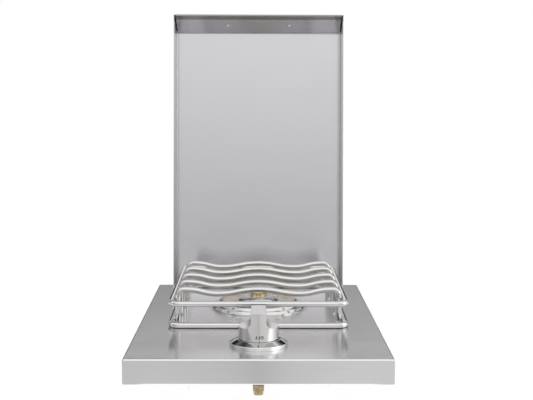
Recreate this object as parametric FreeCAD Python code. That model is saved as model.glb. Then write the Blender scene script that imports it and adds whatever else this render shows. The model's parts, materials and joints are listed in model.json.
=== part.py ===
import FreeCAD, Part
import math
import os

from FreeCAD import Placement, Rotation, Vector

# Built-in gas side burner. Millimetres, +Z up, front at -Y, origin at the centre of the deck's foot,
# on the counter surface that the deck's skirt stands on.

# Deck pan
deck_width = 330.2
deck_length = 482.6
skirt_height = 31.75
deck_sheet = 1.2
deck_top_bend = 2.6
deck_foot_bend = 1.6
deck_corner_radius = 2.0
return_lip_width = 12.0

# Burner place and trim ring
burner_from_front = 308.2
plinth_radius = 72.8
plinth_opening_radius = 57.5
plinth_sheet = 0.9
plinth_rim_width = 2.6
plinth_first_step = 5.0
plinth_second_step = 9.0
plinth_step_run = 2.4
plinth_ledge_width = 5.2
plinth_collar_depth = 4.0
deck_opening_radius = 61.5
plinth_bend = 0.5
plinth_screw_head_radius = 2.0
plinth_screw_head_height = 1.7
plinth_screw_shank_radius = 1.25
plinth_screw_length = 8.0
plinth_screw_count = 3
plinth_screw_first_angle = 26.0

# Knob, bezel and stem
knob_from_front = 71.7
knob_radius = 25.9
knob_rest_gap = 4.5
knob_top_height = 46.0
knob_shoulder_height = 25.2
knob_bar_width = 19.2
knob_scoop_radius = 9.0
knob_edge_round = 0.8
knob_hollow_radius = 21.0
knob_hollow_roof = 10.0
knob_boss_radius = 7.0
knob_boss_lift = 2.0
knob_push_travel = 3.0
knob_insert_radius = 5.2
knob_insert_length = 14.0
bezel_radius = 37.0
bezel_lip_height = 4.6
bezel_lip_round = 0.8
bezel_height = 9.0
bezel_top_radius = 28.9
bezel_inner_radius = 27.4
bezel_floor = 1.2
bezel_floor_hole_radius = 7.2
bezel_screw_offset = 16.0
bezel_screw_shank_radius = 2.0
bezel_screw_head_radius = 3.6
bezel_screw_head_height = 2.2
bezel_screw_past_bonnet = 2.5
stem_radius = 4.0
stem_flat = 1.0
stem_fit = 0.05
stem_depth_in_valve = 18.0
stem_engagement = 12.0
sleeve_wall = 1.1
sleeve_height = 4.0
sleeve_gap = 0.3
sleeve_collar_radius = 6.4
sleeve_collar_height = 0.9

# Gas valve, orifice and inlet
bonnet_thickness = 2.5
bonnet_half_width = 21.0
bonnet_half_depth = 9.5
valve_barrel_radius = 11.0
valve_waist_radius = 9.5
valve_waist_height = 15.0
valve_waist_taper = 2.0
valve_foot_taper = 3.0
valve_round = 0.5
valve_barrel_bottom = -13.0
valve_axis_height = -4.0
valve_outlet_radius = 7.5
valve_outlet_reach = 15.0
valve_inlet_radius = 6.6
orifice_hex = 10.0
orifice_hex_length = 5.0
orifice_tip_radius = 3.6
orifice_tip_length = 7.5
orifice_tip_share = 0.6
inlet_hex = 14.3
inlet_hex_top = -20.0
inlet_hex_bottom = -27.6
inlet_tail_radius = 6.35
inlet_tail_bottom = -32.8
inlet_bore_radius = 3.6
inlet_bore_depth = 10.0
module_width = 15.0
module_depth = 22.0
module_height = 25.0
module_round = 2.0
module_bottom = -2.0
terminal_width = 4.8
terminal_thickness = 0.8
terminal_length = 7.0

# Mixing tube and air shutter
tube_radius = 10.0
tube_wall = 1.2
tube_bend_radius = 18.0
tube_orifice_overlap = 4.0
tube_hole_gap = 0.3
tube_window_length = 9.0
tube_window_width = 10.0
tube_window_from_mouth = 3.0
shutter_gap = 0.1
shutter_wall = 1.0
shutter_length = 15.0
shutter_tab_height = 5.0
shutter_tab_thickness = 1.0
shutter_tab_width = 3.0
shutter_half_closed_angle = 25.0

# Burner casting, ring, dish and head
base_outer_radius = 54.0
base_inner_radius = 32.5
base_wall = 3.0
base_bottom = 22.0
base_rim_below_plinth = 0.6
base_socket_depth = 8.0
base_duct_radius = 4.0
base_neck_gap = 0.2
base_boss_radius = 13.5
base_boss_bottom = 14.0
base_foot_radius = 20.0
base_foot_height = 3.0
base_screw_offset = 16.5
base_screw_radius = 1.5
base_screw_head_radius = 2.9
base_screw_head_height = 1.8
base_spoke_width = 13.0
base_spoke_height = 12.0
base_spoke_count = 3
base_spoke_first_angle = 90.0
ring_radius = 55.4
ring_inner_radius = 30.6
ring_edge_height = 3.9
ring_land_radius = 54.0
ring_land_height = 4.4
ring_dish_radius = 34.8
ring_dish_height = 1.8
ring_ledge_height = 1.5
ring_roof_inner_height = 0.5
ring_roof_outer_height = 2.5
ring_skirt_depth = 3.0
ring_outer_wall = 4.8
ring_inner_wall = 5.2
ring_port_height = 1.5
ring_port_radius = 0.9
ring_port_count = 24
ring_seat_gap = 0.15
dome_radius = 34.4
dome_sheet = 0.9
dome_rim_width = 1.8
dome_flank_radius = 28.0
dome_flank_rise = 3.5
dome_crest_radius = 21.0
dome_crest_rise = 6.8
dome_crest_width = 3.5
dome_dish_radius = 14.8
dome_dish_rise = 4.9
dome_hole_radius = 5.2
dome_rim_bend = 3.0
dome_flank_bend = 20.0
dome_crest_bend = 8.0
dome_fall_bend = 3.0
dome_dish_bend = 2.0
head_radius = 13.1
head_waist_radius = 11.6
head_flange = 1.7
head_height = 7.6
head_waist_taper = 0.8
head_crown = 0.9
head_crown_run = 4.0
head_crown_round = 3.0
head_waist_round = 0.6
head_neck_radius = 4.9
head_neck_length = 12.0
head_port_radius = 0.8
head_port_count = 12
head_port_depth = 3.0
igniter_radius_from_centre = 24.5
igniter_insulator_radius = 2.4
igniter_hole_gap = 0.7
igniter_insulator_top_above_ring = 6.95
igniter_insulator_length = 36.0
igniter_collar_radius = 3.6
igniter_collar_height = 3.0
igniter_wire_radius = 0.7
igniter_wire_rise = 4.0
igniter_wire_tail = 4.0
igniter_point_length = 1.2
igniter_point_share = 0.4
igniter_bracket_width = 12.0
igniter_bracket_sheet = 1.5
igniter_bracket_inner = 19.0
igniter_bracket_outer = 47.0
igniter_screw_from_inner = 8.5
igniter_screw_radius = 1.5
igniter_screw_short = 0.5
igniter_strap_hole_gap = 1.2
strap_width = 27.0
strap_sheet = 2.0
strap_flange = 16.0
strap_bend = 2.0
rivet_radius = 1.6
rivet_head_radius = 3.2
rivet_head_height = 1.2
strap_rivet_spacing = 15.0
strap_hole_gap = 0.6
strap_rivet_height = 12.0

# Burner box under the deck
box_front_from_front = 118.0
box_rear_from_front = 431.0
box_width = 186.0
box_depth = 77.25
box_sheet = 1.0
box_corner_radius = 3.0
box_flange = 12.0
box_vent_radius = 7.0
box_vent_pitch = 32.0
box_vent_columns = 4
box_vent_rows = 3

# Grate
rod_diameter = 7.94
grate_outer_width = 248.0
grate_front_from_front = 163.3
frame_corner_radius = 12.0
upper_frame_height = 33.6
rod_pitch = 55.0
rod_count = 5
rod_crest_height = 46.8
wave_height = 6.0
wave_trough_x = 57.0
wave_end_crest_x = 101.0
rod_corner_radius = 8.5
rod_leg_bottom = 2.5

# Lid
lid_width = 288.0
lid_sheet = 1.2
lid_depth = 55.0
lid_bend = 2.6
lid_closed_gap = 0.5
lid_reach = 469.5
lid_front_slope_run = 22.0
lid_rear_overhang = 6.5
lid_hem = 12.7
lid_corner_slot = 2.0
lid_corner_slot_end = 5.0
lid_open_angle = 95.5
hinge_behind_deck = 10.0
hinge_below_top = 15.0
lid_ear_front = 7.2
lid_ear_bottom = 7.0
lid_ear_round = 6.5

# Lid handle and its screws
handle_length = 152.0
handle_sheet = 1.5
handle_from_fold = 12.0
handle_plate = 25.0
handle_lip = 20.0
handle_curl = 6.0
handle_bend = 2.0
handle_screw_spacing = 106.0
handle_screw_from_fold = 24.8
handle_screw_radius = 2.0
handle_screw_head_radius = 3.6
handle_screw_head_height = 2.4
handle_collar_radius = 3.8
handle_collar_height = 2.5

# Hinge
hinge_pin_radius = 3.0
hinge_pin_fit = 0.05
hinge_hole_fit = 0.08
hinge_pin_head_radius = 5.0
hinge_pin_head_height = 2.0
hinge_side_gap = 0.1
hinge_face_gap = 0.05
washer_radius = 6.0
washer_thickness = 0.8
bracket_sheet = 2.0
bracket_plate_width = 38.0
bracket_plate_height = 22.0
bracket_bend = 2.0
bracket_ear_radius = 6.5
bracket_plate_past_lid = 4.0
bracket_rivet_spacing = 15.0
bracket_rivet_from_ear = 6.0
pin_past_clip = 3.0
clip_thickness = 0.8
clip_radius = 4.8
clip_mouth_angle = 70.0
clip_mouth_depth = 1.8

# Small roundings, and how far a cutting shape runs past what it cuts
edge_break = 0.4
cast_round = 3.0
cast_inner_round = 2.0
over = 5.0

# Places that follow from the sizes
deck_top = skirt_height
deck_under = deck_top - deck_sheet
front_y = -deck_length / 2
rear_y = deck_length / 2
burner_y = front_y + burner_from_front
knob_y = front_y + knob_from_front
rod_radius = rod_diameter / 2
ledge_middle = plinth_radius - plinth_rim_width - plinth_step_run - plinth_ledge_width / 2
plinth_screw_circle = ledge_middle - plinth_sheet / 4
plinth_top = deck_top + plinth_second_step
hinge_y = rear_y + hinge_behind_deck
hinge_z = deck_top - hinge_below_top

UP = Vector(0, 0, 1)
RIGHT = Vector(1, 0, 0)
REAR = Vector(0, 1, 0)


def cylinder(radius, start, end):
    """Solid cylinder between two points."""
    span = end - start
    return Part.makeCylinder(radius, span.Length, start, span)


def block(low, high):
    """Axis-aligned box between two corners."""
    size = high - low
    return Part.makeBox(size.x, size.y, size.z, low)


def hex_bar(across_flats, start, end):
    """Hexagonal bar between two points, with two of its flats facing sideways."""
    corner_radius = across_flats / math.sqrt(3)
    axis = end - start
    turn = Rotation(UP, axis)
    corners = []
    for corner in range(7):
        angle = math.radians(60 * corner + 30)
        flat = Vector(corner_radius * math.cos(angle), corner_radius * math.sin(angle), 0)
        corners.append(start + turn.multVec(flat))
    return Part.Face(Part.makePolygon(corners)).extrude(axis)


def rounded_edges(points, radii):
    """Lines through the points, each inner corner turned into a tangent arc of its radius."""
    edges = []
    cursor = points[0]
    for index in range(1, len(points) - 1):
        corner = points[index]
        back = (points[index - 1] - corner).normalize()
        ahead = (points[index + 1] - corner).normalize()
        half_angle = back.getAngle(ahead) / 2
        radius = radii[index - 1]
        if radius <= 0 or abs(math.pi / 2 - half_angle) < 1e-6:
            edges.append(Part.LineSegment(cursor, corner).toShape())
            cursor = corner
            continue
        trim = radius / math.tan(half_angle)
        start = corner + back * trim
        end = corner + ahead * trim
        bisector = (back + ahead).normalize()
        middle = corner + bisector * (radius / math.sin(half_angle) - radius)
        if (start - cursor).Length > 1e-6:
            edges.append(Part.LineSegment(cursor, start).toShape())
        edges.append(Part.Arc(start, middle, end).toShape())
        cursor = end
    if (points[-1] - cursor).Length > 1e-6:
        edges.append(Part.LineSegment(cursor, points[-1]).toShape())
    return edges


def sheet_section(points, bend_radii, thickness):
    """Section face of bent sheet: the points run along one skin, the other lies to its left, seen along -X.

    Points are (y, z) pairs in the plane x = 0, and bend radii are inside radii.
    """
    path = [Vector(0, y, z) for y, z in points]
    directions = [(path[i + 1] - path[i]).normalize() for i in range(len(path) - 1)]
    normals = [Vector(0, -d.z, d.y) for d in directions]
    other = [path[0] + normals[0] * thickness]
    near_radii = []
    far_radii = []
    for index in range(1, len(path) - 1):
        before = normals[index - 1]
        after = normals[index]
        other.append(path[index] + (before + after) * (thickness / (1 + before.dot(after))))
        inside = bend_radii[index - 1]
        turns_left = directions[index - 1].cross(directions[index]).x > 0
        near_radii.append(inside + thickness if turns_left else inside)
        far_radii.append(inside if turns_left else inside + thickness)
    other.append(path[-1] + normals[-1] * thickness)
    edges = rounded_edges(path, near_radii)
    edges.append(Part.LineSegment(path[-1], other[-1]).toShape())
    edges += rounded_edges(other[::-1], far_radii[::-1])
    edges.append(Part.LineSegment(other[0], path[0]).toShape())
    return Part.Face(Part.Wire(edges))


def turned(profile_points, radii, centre):
    """Solid turned about the vertical through centre, from (radius, height) points."""
    ring = [centre + Vector(0, r, z) for r, z in profile_points]
    edges = rounded_edges(ring, radii)
    edges.append(Part.LineSegment(ring[-1], ring[0]).toShape())
    return Part.Face(Part.Wire(edges)).revolve(centre, UP, 360)


def turned_sheet(profile_points, bend_radii, thickness, centre):
    """Bent sheet section turned about the vertical through centre."""
    face = sheet_section(profile_points, bend_radii, thickness)
    face.translate(centre)
    return face.revolve(centre, UP, 360)


def bent_rod(path_edges, radius):
    """Round rod swept along tangent edges."""
    wire = Part.Wire(path_edges)
    start = wire.OrderedEdges[0]
    point = start.valueAt(start.FirstParameter)
    direction = start.tangentAt(start.FirstParameter)
    section = Part.Wire([Part.makeCircle(radius, point, direction)])
    return wire.makePipeShell([section], True, False)


def dome_head(radius, height, seat, direction):
    """Round screw or rivet head that sits on seat and stands up along direction."""
    sphere_radius = (radius ** 2 + height ** 2) / (2 * height)
    ball = Part.makeSphere(sphere_radius, Vector(0, 0, height - sphere_radius))
    slab = Part.makeCylinder(radius + 1, height, Vector(0, 0, 0), UP)
    head = ball.common(slab)
    head.Placement = Placement(seat, Rotation(UP, direction))
    return head


def around(centre, radius, angle, height):
    """Point on a circle about a vertical axis, angle in degrees from +X."""
    turn = math.radians(angle)
    return centre + Vector(radius * math.cos(turn), radius * math.sin(turn), height)


def edges_where(shape, test):
    """Edges whose centre of mass and box satisfy the test."""
    return [edge for edge in shape.Edges if test(edge.CenterOfMass, edge.BoundBox)]


def mirrored(shape):
    """The same shape on the other side of the plane x = 0."""
    return shape.mirror(Vector(0, 0, 0), RIGHT)


def compound(shapes):
    return Part.makeCompound(shapes)


burner_centre = Vector(0, burner_y, 0)
knob_centre = Vector(0, knob_y, 0)


def plinth_screw_places():
    step = 360 / plinth_screw_count
    return [plinth_screw_first_angle + step * i for i in range(plinth_screw_count)]


def bezel_screw_places():
    return [knob_centre + Vector(side * bezel_screw_offset, 0, 0) for side in (-1, 1)]


def make_deck_pan():
    """Folded pan: top sheet, four skirts and a return lip that rests on the counter."""
    outer = block(Vector(-deck_width / 2, front_y, 0), Vector(deck_width / 2, rear_y, deck_top))
    upright = edges_where(outer, lambda c, b: b.ZLength > skirt_height / 2)
    outer = outer.makeFillet(deck_corner_radius, upright)
    crown = edges_where(outer, lambda c, b: b.ZMin > deck_top - 0.01)
    outer = outer.makeFillet(deck_top_bend, crown)
    foot = edges_where(outer, lambda c, b: b.ZMax < 0.01)
    outer = outer.makeFillet(deck_foot_bend, foot)

    inset = deck_sheet
    inner = block(
        Vector(-deck_width / 2 + inset, front_y + inset, inset),
        Vector(deck_width / 2 - inset, rear_y - inset, deck_under),
    )
    upright = edges_where(inner, lambda c, b: b.ZLength > skirt_height / 2)
    inner = inner.makeFillet(deck_corner_radius - inset, upright)
    crown = edges_where(inner, lambda c, b: b.ZMin > deck_under - 0.01)
    inner = inner.makeFillet(deck_top_bend - inset, crown)

    lip = return_lip_width
    foot_opening = block(
        Vector(-deck_width / 2 + lip, front_y + lip, -over),
        Vector(deck_width / 2 - lip, rear_y - lip, inset + over),
    )
    pan = outer.cut([inner, foot_opening])

    below = UP * (deck_under - over)
    above = UP * (deck_top + over)
    cuts = [cylinder(deck_opening_radius, burner_centre + below, burner_centre + above)]
    cuts.append(cylinder(bezel_floor_hole_radius, knob_centre + below, knob_centre + above))
    for place in bezel_screw_places():
        cuts.append(cylinder(bezel_screw_shank_radius, place + below, place + above))
    for angle in plinth_screw_places():
        foot_point = around(burner_centre, plinth_screw_circle, angle, 0)
        cuts.append(cylinder(plinth_screw_shank_radius, foot_point + below, foot_point + above))
    for place in bracket_rivet_places():
        hole = cylinder(rivet_radius, place - REAR * over, place + REAR * over)
        cuts += [hole, mirrored(hole)]
    return pan.cut(cuts)


def plinth_profile():
    """(radius, height) points along the top skin of the trim ring, from its rim to its collar."""
    rim_inner = plinth_radius - plinth_rim_width
    step_inner = rim_inner - plinth_step_run
    ledge_inner = step_inner - plinth_ledge_width
    top_outer = ledge_inner - plinth_step_run
    return [
        (plinth_radius, plinth_sheet),
        (rim_inner, plinth_sheet),
        (step_inner, plinth_first_step),
        (ledge_inner, plinth_first_step),
        (top_outer, plinth_second_step),
        (plinth_opening_radius, plinth_second_step),
        (plinth_opening_radius, plinth_second_step - plinth_collar_depth),
    ]


def make_burner_plinth():
    """Pressed two-step trim ring round the burner opening, with a collar turned down inside."""
    ring = turned_sheet(plinth_profile(), [plinth_bend] * 5, plinth_sheet, burner_centre + UP * deck_top)
    holes = []
    for angle in plinth_screw_places():
        foot_point = around(burner_centre, plinth_screw_circle, angle, deck_top)
        end = foot_point + UP * (plinth_first_step + over)
        holes.append(cylinder(plinth_screw_shank_radius, foot_point, end))
    return ring.cut(holes)


def make_plinth_screws():
    """Dome-head screws on the ring's ledge."""
    seat = deck_top + plinth_first_step
    screws = []
    for angle in plinth_screw_places():
        foot_point = around(burner_centre, plinth_screw_circle, angle, 0)
        tip = foot_point + UP * (seat - plinth_screw_length)
        shank = cylinder(plinth_screw_shank_radius, tip, foot_point + UP * seat)
        head = dome_head(plinth_screw_head_radius, plinth_screw_head_height, foot_point + UP * seat, UP)
        screws.append(shank.fuse(head))
    return compound(screws)


def make_bezel():
    """Conical ring with a thin floor that the knob sinks into."""
    profile = [
        (bezel_floor_hole_radius, 0),
        (bezel_radius, 0),
        (bezel_radius, bezel_lip_height),
        (bezel_top_radius, bezel_height),
        (bezel_inner_radius, bezel_height),
        (bezel_inner_radius, bezel_floor),
        (bezel_floor_hole_radius, bezel_floor),
    ]
    rounds = [edge_break, bezel_lip_round, edge_break, edge_break, 0]
    ring = turned(profile, rounds, knob_centre + UP * deck_top)
    holes = []
    for place in bezel_screw_places():
        seat = place + UP * deck_top
        holes.append(cylinder(bezel_screw_shank_radius, seat - UP * over, seat + UP * over))
    return ring.cut(holes)


def make_bezel_screws():
    """Pan-head screws through bezel, deck and valve bonnet."""
    seat = deck_top + bezel_floor
    tip = deck_under - bonnet_thickness - bezel_screw_past_bonnet
    screws = []
    for place in bezel_screw_places():
        shank = cylinder(bezel_screw_shank_radius, place + UP * tip, place + UP * seat)
        head = dome_head(bezel_screw_head_radius, bezel_screw_head_height, place + UP * seat, UP)
        screws.append(shank.fuse(head))
    return compound(screws)


knob_bottom = deck_top + knob_rest_gap
knob_boss_bottom = knob_bottom + knob_boss_lift
knob_top = deck_top + knob_top_height
knob_shoulder = deck_top + knob_shoulder_height
stem_top = knob_boss_bottom + stem_engagement
stem_bottom = deck_under - stem_depth_in_valve


def d_shaft(radius, flat_depth, bottom, top):
    """Round shaft with one flat on its front, at the knob's axis."""
    shaft = cylinder(radius, knob_centre + UP * bottom, knob_centre + UP * top)
    flat_y = knob_y - radius + flat_depth
    low = Vector(-radius - over, knob_y - radius - over, bottom - over)
    shaving = block(low, Vector(radius + over, flat_y, top + over))
    return shaft.cut(shaving)


def make_knob():
    """Turned knob whose two sides are scooped away to leave a grip bar."""
    body = cylinder(knob_radius, knob_centre + UP * knob_bottom, knob_centre + UP * knob_top)
    bar = knob_bar_width / 2
    far = knob_radius + over
    above = knob_top + over
    outline = [
        Vector(far, 0, above),
        Vector(bar, 0, above),
        Vector(bar, 0, knob_shoulder),
        Vector(far, 0, knob_shoulder),
        Vector(far, 0, above),
    ]
    edges = rounded_edges(outline, [0, knob_scoop_radius, 0])
    scoop = Part.Face(Part.Wire(edges)).extrude(REAR * (2 * far))
    scoop.translate(Vector(0, knob_y - far, 0))
    body = body.cut([scoop, mirrored(scoop)])
    top_edges = edges_where(body, lambda c, b: b.ZMin > knob_top - 0.01)
    body = body.makeFillet(knob_edge_round, top_edges)
    rim = edges_where(body, lambda c, b: b.ZMax < knob_bottom + 0.01)
    body = body.makeChamfer(knob_edge_round, rim)

    roof = knob_bottom + knob_hollow_roof
    hollow = cylinder(knob_hollow_radius, knob_centre + UP * (knob_bottom - over), knob_centre + UP * roof)
    boss = cylinder(knob_boss_radius, knob_centre + UP * knob_boss_bottom, knob_centre + UP * roof)
    insert_top = knob_boss_bottom + knob_insert_length
    bore = cylinder(knob_insert_radius, knob_centre + UP * knob_boss_bottom, knob_centre + UP * insert_top)
    return body.cut(hollow).fuse(boss).cut(bore)


def make_knob_insert():
    """Steel sleeve in the knob's boss, with the D-shaped bore that turns the stem."""
    insert_top = knob_boss_bottom + knob_insert_length
    start = knob_centre + UP * knob_boss_bottom
    sleeve = cylinder(knob_insert_radius, start, knob_centre + UP * insert_top)
    bore = d_shaft(stem_radius + stem_fit, stem_flat, knob_boss_bottom - over, insert_top + over)
    return sleeve.cut(bore)


def make_valve_stem():
    """Valve stem, with a flat where the knob grips it."""
    lower = cylinder(stem_radius, knob_centre + UP * stem_bottom, knob_centre + UP * knob_boss_bottom)
    return lower.fuse(d_shaft(stem_radius, stem_flat, knob_boss_bottom, stem_top))


def make_push_sleeve():
    """Collared sleeve on the stem that the knob pushes down."""
    top = knob_boss_bottom - sleeve_gap
    bottom = top - sleeve_height
    high = knob_centre + UP * top
    outer = cylinder(stem_radius + stem_fit + sleeve_wall, knob_centre + UP * bottom, high)
    collar_bottom = top - sleeve_collar_height
    collar = cylinder(sleeve_collar_radius, knob_centre + UP * collar_bottom, high)
    bore = cylinder(stem_radius + stem_fit, knob_centre + UP * (bottom - over), high + UP * over)
    return outer.fuse(collar).cut(bore)


def make_valve_bonnet():
    """Flange plate that clamps the valve under the deck."""
    low = Vector(-bonnet_half_width, knob_y - bonnet_half_depth, deck_under - bonnet_thickness)
    high = Vector(bonnet_half_width, knob_y + bonnet_half_depth, deck_under)
    plate = block(low, high)
    upright = edges_where(plate, lambda c, b: b.ZLength > bonnet_thickness / 2)
    plate = plate.makeFillet(bonnet_half_depth / 2, upright)
    below = UP * (deck_under - bonnet_thickness - over)
    above = UP * (deck_under + over)
    cuts = [cylinder(stem_radius + stem_fit, knob_centre + below, knob_centre + above)]
    for place in bezel_screw_places():
        cuts.append(cylinder(bezel_screw_shank_radius, place + below, place + above))
    return plate.cut(cuts)


def make_gas_valve_body():
    """Cast brass valve: barrel under the knob, outlet to the rear, inlet neck down."""
    top = deck_under - bonnet_thickness
    profile = [
        (0, top),
        (valve_barrel_radius, top),
        (valve_barrel_radius, valve_waist_height),
        (valve_waist_radius, valve_waist_height - valve_waist_taper),
        (valve_waist_radius, valve_barrel_bottom + valve_foot_taper),
        (valve_inlet_radius, valve_barrel_bottom),
        (valve_inlet_radius, inlet_hex_top),
        (0, inlet_hex_top),
    ]
    barrel = turned(profile, [0] + [valve_round] * 4 + [0], knob_centre)
    axis_point = knob_centre + UP * valve_axis_height
    outlet = cylinder(valve_outlet_radius, axis_point, axis_point + REAR * valve_outlet_reach)
    hollow_bottom = stem_bottom - knob_push_travel - 1
    bore_end = knob_centre + UP * (top + over)
    bore = cylinder(stem_radius + stem_fit, knob_centre + UP * hollow_bottom, bore_end)
    return barrel.fuse(outlet).cut(bore)


def make_orifice_spud():
    """Brass gas jet: hexagon and a tapered nose that points into the mixing tube."""
    axis_point = knob_centre + UP * valve_axis_height
    start = axis_point + REAR * valve_outlet_reach
    shoulder = start + REAR * orifice_hex_length
    nose_end = orifice_tip_radius * orifice_tip_share
    nose = Part.makeCone(orifice_tip_radius, nose_end, orifice_tip_length, shoulder, REAR)
    return hex_bar(orifice_hex, start, shoulder).fuse(nose)


def make_inlet_fitting():
    """Brass inlet adapter: hexagon and a male tail that points down."""
    hexagon = hex_bar(inlet_hex, knob_centre + UP * inlet_hex_top, knob_centre + UP * inlet_hex_bottom)
    tail_end = knob_centre + UP * inlet_tail_bottom
    tail = cylinder(inlet_tail_radius, knob_centre + UP * inlet_hex_bottom, tail_end)
    bore_top = inlet_tail_bottom + inlet_bore_depth
    bore_start = knob_centre + UP * (inlet_tail_bottom - over)
    bore = cylinder(inlet_bore_radius, bore_start, knob_centre + UP * bore_top)
    return hexagon.fuse(tail).cut(bore)


def make_igniter_module():
    """Spark module clipped to the side of the valve, with a blade terminal at its rear."""
    low = Vector(valve_barrel_radius, knob_y - module_depth / 2, module_bottom)
    top = module_bottom + module_height
    high = Vector(valve_barrel_radius + module_width, knob_y + module_depth / 2, top)
    case = block(low, high)
    case = case.makeFillet(module_round, case.Edges)
    middle_x = valve_barrel_radius + module_width / 2
    rear = knob_y + module_depth / 2
    blade_z = module_bottom + module_height / 2
    blade = block(
        Vector(middle_x - terminal_width / 2, rear - module_round, blade_z),
        Vector(middle_x + terminal_width / 2, rear + terminal_length, blade_z + terminal_thickness),
    )
    return case.fuse(blade)


orifice_end_y = knob_y + valve_outlet_reach + orifice_hex_length + orifice_tip_length
tube_mouth_y = orifice_end_y - tube_orifice_overlap
socket_top = base_boss_bottom + base_socket_depth


def tube_windows(outer_radius, angle):
    """Cutters for the two air windows, above and below the tube, turned about its axis."""
    start = tube_mouth_y + tube_window_from_mouth
    reach = outer_radius + over
    cutter = block(
        Vector(-tube_window_width / 2, start, -reach),
        Vector(tube_window_width / 2, start + tube_window_length, reach),
    )
    cutter.rotate(Vector(0, 0, 0), REAR, angle)
    cutter.translate(UP * valve_axis_height)
    return cutter


def make_mixing_tube():
    """Tube from the jet to the burner casting, turned up at its end."""
    points = [
        Vector(0, tube_mouth_y, valve_axis_height),
        Vector(0, burner_y, valve_axis_height),
        Vector(0, burner_y, socket_top),
    ]
    outside = bent_rod(rounded_edges(points, [tube_bend_radius]), tube_radius)
    inside = bent_rod(rounded_edges(points, [tube_bend_radius]), tube_radius - tube_wall)
    return outside.cut(inside).cut(tube_windows(tube_radius, 0))


def make_air_shutter():
    """Sleeve that turns on the tube's mouth and part covers its air windows."""
    start = Vector(0, tube_mouth_y, valve_axis_height)
    end = start + REAR * shutter_length
    inner = tube_radius + shutter_gap
    outer = inner + shutter_wall
    ring = cylinder(outer, start, end)
    tab = block(
        Vector(-shutter_tab_thickness / 2, end.y - shutter_tab_width, valve_axis_height + inner),
        Vector(shutter_tab_thickness / 2, end.y, valve_axis_height + outer + shutter_tab_height),
    )
    bore = cylinder(inner, start - REAR * over, end + REAR * over)
    return ring.fuse(tab).cut([bore, tube_windows(outer, shutter_half_closed_angle)])


base_rim = plinth_top - base_rim_below_plinth
spoke_angles = [base_spoke_first_angle + i * 360 / base_spoke_count for i in range(base_spoke_count)]


def make_burner_base():
    """Casting: ring-shaped gas channel, centre boss and hollow spokes between them."""
    inner = base_inner_radius
    outer = base_outer_radius
    wall = base_wall
    channel_profile = [
        (inner, base_bottom),
        (outer, base_bottom),
        (outer, base_rim),
        (outer - wall, base_rim),
        (outer - wall, base_bottom + wall),
        (inner + wall, base_bottom + wall),
        (inner + wall, base_rim),
        (inner, base_rim),
    ]
    rounds = [cast_round, 0, 0, cast_inner_round, cast_inner_round, 0]
    channel = turned(channel_profile, rounds, burner_centre)
    boss = cylinder(base_boss_radius, burner_centre + UP * base_boss_bottom, burner_centre + UP * base_rim)
    foot_top = burner_centre + UP * (base_boss_bottom + base_foot_height)
    parts = [boss, cylinder(base_foot_radius, burner_centre + UP * base_boss_bottom, foot_top)]
    ducts = []
    for angle in spoke_angles:
        spoke = block(
            Vector(0, -base_spoke_width / 2, base_bottom),
            Vector(inner + wall / 2, base_spoke_width / 2, base_bottom + base_spoke_height),
        )
        spoke.rotate(Vector(0, 0, 0), UP, angle)
        spoke.translate(burner_centre)
        parts.append(spoke)
        duct_height = base_bottom + base_spoke_height / 2
        start = burner_centre + UP * duct_height
        end = around(burner_centre, inner + 2 * wall, angle, duct_height)
        ducts.append(cylinder(base_duct_radius, start, end))
    socket = cylinder(tube_radius, burner_centre + UP * base_boss_bottom, burner_centre + UP * socket_top)
    neck_start = burner_centre + UP * socket_top
    neck = cylinder(head_neck_radius + base_neck_gap, neck_start, burner_centre + UP * (base_rim + over))
    holes = []
    for place in base_screw_places():
        holes.append(cylinder(base_screw_radius, place - UP * over, place + UP * base_foot_height))
    bracket_screw = igniter_screw_place()
    holes.append(cylinder(igniter_screw_radius, bracket_screw, bracket_screw + UP * base_wall))
    return channel.fuse(parts).cut([socket, neck] + ducts + holes)


def base_screw_places():
    """Points under the casting's foot where its two screws go up."""
    foot_point = burner_centre + UP * base_boss_bottom
    return [foot_point - RIGHT * base_screw_offset, foot_point + RIGHT * base_screw_offset]


def make_burner_screws():
    """Screws from under the strap into the casting's foot."""
    screws = []
    for place in base_screw_places():
        seat = place - UP * strap_sheet
        shank = cylinder(base_screw_radius, seat, place + UP * base_foot_height)
        head = dome_head(base_screw_head_radius, base_screw_head_height, seat, UP * -1)
        screws.append(shank.fuse(head))
    return compound(screws)


def igniter_screw_place():
    """Point under the gas channel's wall where the igniter bracket is screwed on."""
    return burner_centre + RIGHT * (base_inner_radius + igniter_screw_from_inner) + UP * base_bottom


def make_igniter_screw():
    """Screw that holds the igniter bracket to the casting."""
    place = igniter_screw_place()
    seat = place - UP * igniter_bracket_sheet
    shank = cylinder(igniter_screw_radius, seat, place + UP * (base_wall - igniter_screw_short))
    return shank.fuse(dome_head(base_screw_head_radius, base_screw_head_height, seat, UP * -1))


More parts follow.
